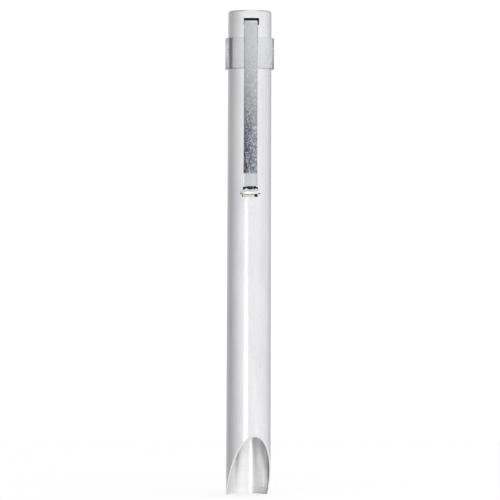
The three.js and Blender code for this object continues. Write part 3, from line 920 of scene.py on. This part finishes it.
linerShape = {"wall": 0.4, "round": 0.05, "seam": (1.2, 2.1)}
radius, low, high = spans("cell_liner")
bm = tube(radius - linerShape["wall"], radius, low, high, linerShape["round"], 2, 120)
cellLiner = addPiece("cellLiner", bm, ["card"], "barrel", ["cell_liner"])
carve(cellLiner, (linerShape["seam"][0] * mm, -0.009, tipZ + (low - 1) * mm),
      (linerShape["seam"][1] * mm, -0.003, tipZ + (high + 1) * mm))
print("cells and liner made")


holderShape = {"wall": 0.85, "slit": 0.6, "slitHigh": 38, "pitch": 1.8, "thread": 0.12}


def threaded(radiusOut, radiusIn, low, high, pitch, depth, onOutside, sides=96, edge=0.15):
    # a sleeve with a real helical thread on one of its walls
    bm = bmesh.new()
    rows = int((high - low) / pitch * 14)
    steep = 0.5  # of the chamfers at both ends
    walls = []
    for isOutside in (True, False):
        base = radiusOut if isOutside else radiusIn
        grid = []
        for row in range(rows + 1):
            height = low + (high - low) * row / rows
            ring = []
            for k in range(sides):
                angle = 2 * math.pi * k / sides
                radius = base
                inward = -1 if isOutside else 1  # into the metal
                if isOutside == onOutside:
                    phase = 2 * math.pi * ((height - low) / pitch - k / sides)
                    wave = (0.5 - 0.5 * math.cos(phase)) ** 1.2
                    runOut = min(1, (height - low) / pitch, (high - height) / pitch)
                    radius += inward * depth * (1 - runOut + runOut * wave)
                near = min(height - low, high - height)
                if near < edge:
                    radius += inward * (edge - near) * steep
                ring.append(bm.verts.new(onPen(radius, angle, height)))
            grid.append(ring)
        walls.append(grid)
    for grid in walls:
        for lower, upper in zip(grid, grid[1:]):
            for k in range(sides):
                n = (k + 1) % sides
                bm.faces.new((lower[k], lower[n], upper[n], upper[k]))
    for end in (0, -1):
        for k in range(sides):
            n = (k + 1) % sides
            bm.faces.new((walls[0][end][k], walls[0][end][n], walls[1][end][n], walls[1][end][k]))
    return bm


radius, low, high = spans("lamp_holder")
bm = threaded(radius, radius - holderShape["wall"], low, high, holderShape["pitch"],
              holderShape["thread"], False)
lampHolder = addPiece("lampHolder", bm, ["nickel"], "holder", ["lamp_holder"])
slitHalf = holderShape["slit"] / 2 * mm
slitLow, slitHigh = tipZ + (low - 1) * mm, tipZ + holderShape["slitHigh"] * mm
carve(lampHolder, (-slitHalf, -0.008, slitLow), (slitHalf, 0.008, slitHigh), (0, math.pi / 2))

radius, low, high = spans("contact_disc")
bm = tube(1.1, radius, low, high, 0.12, 3)
addPiece("contactDisc", bm, ["black"], "holder", ["contact_disc"])

radius, low, high = spans("contact_rivet")
head, shank, dish = 0.35, 0.8, 0.02
line = soften([(0, low), (radius, low), (radius, low + head), (shank, low + head), (shank, high - head),
               (radius, high - head), (radius, high), (0, high)], 0.12, 4, False)
line[0], line[-1] = (0, low + dish), (0, high - dish)
addPiece("contactRivet", turned(line, 64, False), ["brass"], "holder", ["contact_rivet"])
print("holder and contacts made")


lampShape = {
    "neck": 3.8, "wall": 0.45, "lens": 3.2, "shoulder": 1.6, "shoulderHeight": 4.4, "bodyEnd": 10.2,
    "neckStart": 11.7, "shellGap": 0.35, "pitch": 1.8, "thread": 0.3, "filamentTurns": 7, "coil": 0.28,
}

radius, low, high = spans("lamp_shell")
bm = threaded(radius, lampShape["neck"] + lampShape["shellGap"], low, high, lampShape["pitch"],
              lampShape["thread"], True, 96, 0.1)
addPiece("lampShell", bm, ["brass"], "lamp", ["lamp_shell"], 60)
shellHigh = high

radius, low, high = spans("lamp_base_glass")
line = soften([(0, low), (radius, low), (radius, shellHigh), (1.6, high), (0, high)], 0.2, 3, False)
bm = turned(line, 72, False)
addPiece("lampBaseGlass", bm, ["blackGlass"], "lamp", ["lamp_base_glass"])

radius, low, high = spans("lamp_solder_tip")
line = [(0, low)]
for k in range(9):
    a = math.radians(90 * k / 8)
    line.append((radius * math.cos(a) ** 0.8, low + (high - low) * math.sin(a)))
line[-1] = (0, high)
addPiece("lampSolderTip", turned(line, 48, False), ["solder"], "lamp", ["lamp_solder_tip"])


def curvePoints(centreRadius, centreHeight, radius, start, end, steps):
    # an arc, from and to in degrees
    turns = [math.radians(start + (end - start) * k / steps) for k in range(steps + 1)]
    return [(centreRadius + radius * math.cos(a), centreHeight + radius * math.sin(a)) for a in turns]


radius, low, high = spans("lamp_glass")
neck, wall = lampShape["neck"], lampShape["wall"]
neckIn, radiusIn = neck - wall, radius - wall
shoulderZ = low + lampShape["shoulderHeight"]
bodyEnd, neckStart = low + lampShape["bodyEnd"], low + lampShape["neckStart"]
line = curvePoints(0, low + lampShape["lens"], lampShape["lens"], -90, -14, 14)
line += curvePoints(radius - lampShape["shoulder"], shoulderZ, lampShape["shoulder"], -42, 0, 7)
line += [(radius, bodyEnd - 0.4)]
line += soften([(radius, bodyEnd - 0.4), (radius, bodyEnd), (neck, neckStart), (neck, high - 0.3)],
               0.5, 4, False)[1:-1]
line += [(neck, high - 0.15), (neck - 0.2, high), (neckIn + 0.1, high), (neckIn, high - 0.15)]
line += soften([(neckIn, high - 0.3), (neckIn, neckStart + 0.2), (radiusIn, bodyEnd + 0.2),
                (radiusIn, shoulderZ + 1.4)], 0.4, 4, False)[1:-1]
line += curvePoints(0, shoulderZ + 1.2, radiusIn, 0, -35, 8)
line += [(2.0, low + 3.5), (1.0, low + 3.42), (0, low + 3.4)]  # the back of the lens
line[0] = (0, low)
addPiece("lampGlass", turned(line, 96, False), ["glass"], "lamp", ["lamp_glass"], 50)

low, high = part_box("lamp_bead")
centre = (low + high) / 2
size = (high - low) / 2
bm = bmesh.new()
bmesh.ops.create_uvsphere(bm, u_segments=40, v_segments=24, radius=1.0)
for vert in bm.verts:
    # a bead that was melted round its wires, so a little fuller at the ends
    swell = (1 + 0.06 * math.cos(3 * math.asin(max(-1, min(1, vert.co.x))))) / 1.06
    vert.co = Vector((vert.co.x * size.x, vert.co.y * size.y * swell, vert.co.z * size.z * swell)) + centre
addPiece("lampBead", bm, ["glass"], "lamp", ["lamp_bead"])

for node, name in (("lamp_lead_left", "lampLeadLeft"), ("lamp_lead_right", "lampLeadRight")):
    low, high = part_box(node)
    x, r = (low.x + high.x) / 2, (high.x - low.x) / 2 / mm
    points = [(x, 0, low.z + (high.z - low.z) * k / 24) for k in range(25)]
    addPiece(name, rod(points, r), ["nickel"], "lamp", [node])

low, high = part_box("lamp_filament")
points = []
turns, coil, inset = lampShape["filamentTurns"], lampShape["coil"] * mm, 0.08 * mm
for k in range(turns * 20 + 1):
    s = k / (turns * 20)
    a = 2 * math.pi * turns * s
    sag = -0.05 * mm * math.sin(math.pi * s)
    points.append((low.x + inset + (high.x - low.x - 2 * inset) * s, coil * math.cos(a),
                   (low.z + high.z) / 2 + coil * math.sin(a) + sag))
addPiece("lampFilament", rod(points, 0.05, 8), ["tungsten"], "lamp", ["lamp_filament"], 60)
print("lamp made")


studio = {
    "floorSize": 0.6, "floorDrop": 0.0002, "worldStrength": 1.0, "floorGlow": 0.7,
    # degrees round from the front, then how bright the room is there, low down and high up
    "walls": [
        (-180, 0.7, 0.7), (-150, 0.58, 0.62), (-120, 0.39, 0.43), (-95, 0.52, 0.58), (-66, 0.77, 0.8),
        (-40, 0.98, 1.0), (-22, 1.0, 1.0), (0, 1.0, 1.0), (32, 1.09, 1.09), (63, 1.0, 1.0), (97, 0.96, 0.93),
        (125, 0.79, 0.77), (150, 0.52, 0.52), (170, 0.5, 0.5),
    ],
    "brightest": 1.25,  # the table above is divided by this, then lit by it
    "wallEdges": (-0.054, 0.04),  # where low down ends and high up begins
    "tint": 0.05,  # how much bluer the dimmer parts are
    "backdrop": 1.05,
    "upDown": [(0.0, 1.0), (0.58, 1.0), (0.75, 0.86), (1.0, 0.75)],  # table to ceiling
}


def buildFloor():
    bm = bmesh.new()
    bmesh.ops.create_circle(bm, cap_ends=True, segments=96, radius=studio["floorSize"] / 2)
    mesh = bpy.data.meshes.new("floor")
    bm.to_mesh(mesh)
    bm.free()
    floor = shown("floor", mesh)
    floor.location = (0, 0, barrelLow.z - studio["floorDrop"])
    t = tree("paleFloor")
    wire(t, "Base Color", (0.4, 0.4, 0.4))
    wire(t, "Roughness", 0.9)
    wire(t, "Specular IOR Level", 0.1)
    wire(t, "Emission Color", (1.0, 1.0, 1.0))
    wire(t, "Emission Strength", studio["floorGlow"])
    # clear from underneath, so that the mouth can be looked into
    facing = t["nodes"].new("ShaderNodeNewGeometry")
    clear = t["nodes"].new("ShaderNodeBsdfTransparent")
    either = t["nodes"].new("ShaderNodeMixShader")
    out = t["shader"].outputs[0].links[0].to_socket
    t["links"].new(facing.outputs["Backfacing"], either.inputs[0])
    t["links"].new(t["shader"].outputs[0], either.inputs[1])
    t["links"].new(clear.outputs[0], either.inputs[2])
    t["links"].new(either.outputs[0], out)
    mesh.materials.append(t["material"])
    floor.visible_glossy = False  # the pen mirrors the room and not the table
    floor.visible_shadow = False


buildFloor()


def buildWorld():
    # a white room, a little dimmer behind the left shoulder of the pen
    world = bpy.data.worlds.new("studio")
    bpy.context.scene.world = world
    world.use_nodes = True
    nodes, links = world.node_tree.nodes, world.node_tree.links
    nodes.clear()
    out = nodes.new("ShaderNodeOutputWorld")
    back = nodes.new("ShaderNodeBackground")
    t = {"nodes": nodes, "links": links, "where": nodes.new("ShaderNodeTexCoord").outputs["Generated"]}
    at = xyz(t)
    share = between(t, aroundAxis(t, at), -math.pi, math.pi)

    def wallOf(column):
        stops = []
        for row in studio["walls"]:
            value = row[column]
            tint = studio["tint"] * (1 - min(1, value))
            value /= studio["brightest"]
            stops.append(((row[0] + 180) / 360, (value * (1 + tint * 0.3), value, value * (1 + tint))))
        return ramp(t, share, stops, "B_SPLINE")

    room = mix(t, between(t, at["Z"], *studio["wallEdges"]), wallOf(1), wallOf(2))
    room = times(t, room, studio["brightest"])
    upDown = ramp(t, between(t, at["Z"], -1, 1), studio["upDown"])
    room = times(t, room, upDown)
    path = nodes.new("ShaderNodeLightPath")
    unreflected = sums(t, "LESS_THAN", path.outputs["Glossy Depth"], 0.5)  # the backdrop through the ring
    through = sums(t, "MULTIPLY", path.outputs["Is Transmission Ray"], unreflected)
    plain = sums(t, "MAXIMUM", path.outputs["Is Camera Ray"], through)
    links.new(mix(t, plain, room, studio["backdrop"]), back.inputs["Color"])
    back.inputs["Strength"].default_value = studio["worldStrength"]
    links.new(back.outputs[0], out.inputs["Surface"])


buildWorld()


def softbox(name, degrees, height, distance, width, tall, power):
    light = bpy.data.lights.new(name, "AREA")
    light.shape = "RECTANGLE"
    light.size, light.size_y = width, tall
    light.energy = power
    lamp = shown(name, light)
    a = math.radians(degrees)
    middle = Vector((0, 0, (barrelLow.z + barrelHigh.z) / 2))
    lamp.location = middle + Vector((math.sin(a) * distance, -math.cos(a) * distance, height))
    lamp.rotation_euler = (middle - lamp.location).to_track_quat("-Z", "Y").to_euler()
    lamp.visible_camera = False


softbox("stripLeft", -18, -0.37, 0.8, 0.19, 0.8, 0.62)
softbox("topSoft", 20, 0.9, 0.25, 0.6, 0.6, 0.8)

view = {
    "distance": 0.93, "lens": 228, "sensor": 36, "nearest": 0.01,
    "azimuth": -3.2, "height": 71.9, "sideways": 0.28, "roll": 0.2,
}
camera = shown("camera", bpy.data.cameras.new("camera"))
camera.data.lens = view["lens"]
camera.data.sensor_width = view["sensor"]
camera.data.clip_start = view["nearest"]
a = math.radians(view["azimuth"])
toCamera = Vector((math.sin(a), -math.cos(a), 0))
right = Vector((math.cos(a), math.sin(a), 0))
target = Vector((0, 0, tipZ + view["height"] * mm)) + right * view["sideways"] * mm
camera.location = target + toCamera * view["distance"]
camera.rotation_euler = (Matrix.Rotation(math.radians(view["roll"]), 3, toCamera)
                         @ (-toCamera).to_track_quat("-Z", "Y").to_matrix()).to_euler()
bpy.context.scene.camera = camera
bpy.context.scene.view_settings.view_transform = "Standard"
print("studio made")
